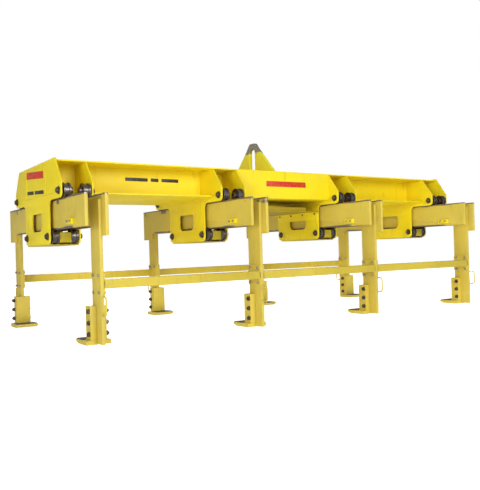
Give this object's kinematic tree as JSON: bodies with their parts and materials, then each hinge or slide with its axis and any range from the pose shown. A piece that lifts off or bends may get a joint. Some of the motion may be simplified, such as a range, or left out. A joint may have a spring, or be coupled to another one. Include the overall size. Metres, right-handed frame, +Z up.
{
  "type": "spreader beam",
  "caption": "Sheet-pack lifting beam: box girder with a slotted lifting bail, roller hangers, and two leg frames with toed feet that slide apart and together around the load.",
  "frame": {"origin": "on the floor under the middle of the beam, at the level of the feet's undersides", "axes": "+X along the beam towards station 4, +Y across it towards the rear leg frame, +Z up towards the lifting bail"},
  "size_m": [6.008, 2.794, 2.335],
  "materials": {
    "beam_paint": "bright yellow gloss enamel on steel plate, worn at plate edges",
    "frame_paint": "paler yellow enamel on steel bar, rubbed to bare steel on the arms' running edges",
    "roller_steel": "dark oiled steel, polished bright on the treads",
    "fastener_steel": "dark plated bolts and nuts",
    "bare_steel": "unpainted grey-brown mill steel on the crown of the bail",
    "toe_pad": "grey wear pad on the toes",
    "marking_red": "flat red marking paint",
    "marking_black": "flat black marking paint"
  },
  "bodies": {
    "beam": {"main_beam": "beam_paint", "hanger_1": "beam_paint", "hanger_2": "beam_paint", "hanger_3": "beam_paint", "hanger_4": "beam_paint", "tray": "beam_paint"},
    "front_frame": {"front_leg_1": "frame_paint", "front_leg_2": "frame_paint", "front_leg_3": "frame_paint", "front_leg_4": "frame_paint", "front_foot_1": "frame_paint", "front_foot_2": "frame_paint", "front_foot_3": "frame_paint", "front_foot_4": "frame_paint", "front_rail_1": "frame_paint", "front_rail_2": "frame_paint", "front_rail_3": "frame_paint"},
    "rear_frame": {"rear_leg_1": "frame_paint", "rear_leg_2": "frame_paint", "rear_leg_3": "frame_paint", "rear_leg_4": "frame_paint", "rear_foot_1": "frame_paint", "rear_foot_2": "frame_paint", "rear_foot_3": "frame_paint", "rear_foot_4": "frame_paint", "rear_rail_1": "frame_paint", "rear_rail_2": "frame_paint", "rear_rail_3": "frame_paint"},
    "front_upper_rollers_a": {"front_upper_roller_a1": "roller_steel", "front_upper_roller_a2": "roller_steel", "front_upper_roller_a3": "roller_steel", "front_upper_roller_a4": "roller_steel"},
    "front_upper_rollers_b": {"front_upper_roller_b1": "roller_steel", "front_upper_roller_b2": "roller_steel", "front_upper_roller_b3": "roller_steel", "front_upper_roller_b4": "roller_steel"},
    "front_lower_rollers_a": {"front_lower_roller_a1": "roller_steel", "front_lower_roller_a2": "roller_steel", "front_lower_roller_a3": "roller_steel", "front_lower_roller_a4": "roller_steel"},
    "front_lower_rollers_b": {"front_lower_roller_b1": "roller_steel", "front_lower_roller_b2": "roller_steel", "front_lower_roller_b3": "roller_steel", "front_lower_roller_b4": "roller_steel"},
    "rear_upper_rollers_a": {"rear_upper_roller_a1": "roller_steel", "rear_upper_roller_a2": "roller_steel", "rear_upper_roller_a3": "roller_steel", "rear_upper_roller_a4": "roller_steel"},
    "rear_upper_rollers_b": {"rear_upper_roller_b1": "roller_steel", "rear_upper_roller_b2": "roller_steel", "rear_upper_roller_b3": "roller_steel", "rear_upper_roller_b4": "roller_steel"},
    "rear_lower_rollers_a": {"rear_lower_roller_a1": "roller_steel", "rear_lower_roller_a2": "roller_steel", "rear_lower_roller_a3": "roller_steel", "rear_lower_roller_a4": "roller_steel"},
    "rear_lower_rollers_b": {"rear_lower_roller_b1": "roller_steel", "rear_lower_roller_b2": "roller_steel", "rear_lower_roller_b3": "roller_steel", "rear_lower_roller_b4": "roller_steel"}
  },
  "joints": [
    {"name": "front_slide", "type": "slide", "parent": "beam", "child": "front_frame", "axis": [0, -1, 0], "range_m": [-0.58, 0.49]},
    {"name": "rear_slide", "type": "slide", "parent": "beam", "child": "rear_frame", "axis": [0, 1, 0], "range_m": [-0.58, 0.49]},
    {"name": "front_upper_a_turn", "type": "hinge", "parent": "beam", "child": "front_upper_rollers_a", "pos_m": [0, -0.802, 1.538], "axis": [1, 0, 0], "continuous": true},
    {"name": "front_upper_b_turn", "type": "hinge", "parent": "beam", "child": "front_upper_rollers_b", "pos_m": [0, 0.802, 1.538], "axis": [1, 0, 0], "continuous": true},
    {"name": "front_lower_a_turn", "type": "hinge", "parent": "beam", "child": "front_lower_rollers_a", "pos_m": [0, -0.393, 1.084], "axis": [1, 0, 0], "continuous": true},
    {"name": "front_lower_b_turn", "type": "hinge", "parent": "beam", "child": "front_lower_rollers_b", "pos_m": [0, 0.393, 1.084], "axis": [1, 0, 0], "continuous": true},
    {"name": "rear_upper_a_turn", "type": "hinge", "parent": "beam", "child": "rear_upper_rollers_a", "pos_m": [0, -0.802, 1.538], "axis": [1, 0, 0], "continuous": true},
    {"name": "rear_upper_b_turn", "type": "hinge", "parent": "beam", "child": "rear_upper_rollers_b", "pos_m": [0, 0.802, 1.538], "axis": [1, 0, 0], "continuous": true},
    {"name": "rear_lower_a_turn", "type": "hinge", "parent": "beam", "child": "rear_lower_rollers_a", "pos_m": [0, -0.393, 1.084], "axis": [1, 0, 0], "continuous": true},
    {"name": "rear_lower_b_turn", "type": "hinge", "parent": "beam", "child": "rear_lower_rollers_b", "pos_m": [0, 0.393, 1.084], "axis": [1, 0, 0], "continuous": true}
  ],
  "couplings": [
    {"joint": "front_upper_a_turn", "follows": "front_slide", "rad_per_m": -14.706},
    {"joint": "front_upper_b_turn", "follows": "front_slide", "rad_per_m": -14.706},
    {"joint": "front_lower_a_turn", "follows": "front_slide", "rad_per_m": 14.706},
    {"joint": "front_lower_b_turn", "follows": "front_slide", "rad_per_m": 14.706},
    {"joint": "rear_upper_a_turn", "follows": "rear_slide", "rad_per_m": 14.706},
    {"joint": "rear_upper_b_turn", "follows": "rear_slide", "rad_per_m": 14.706},
    {"joint": "rear_lower_a_turn", "follows": "rear_slide", "rad_per_m": -14.706},
    {"joint": "rear_lower_b_turn", "follows": "rear_slide", "rad_per_m": -14.706}
  ]
}
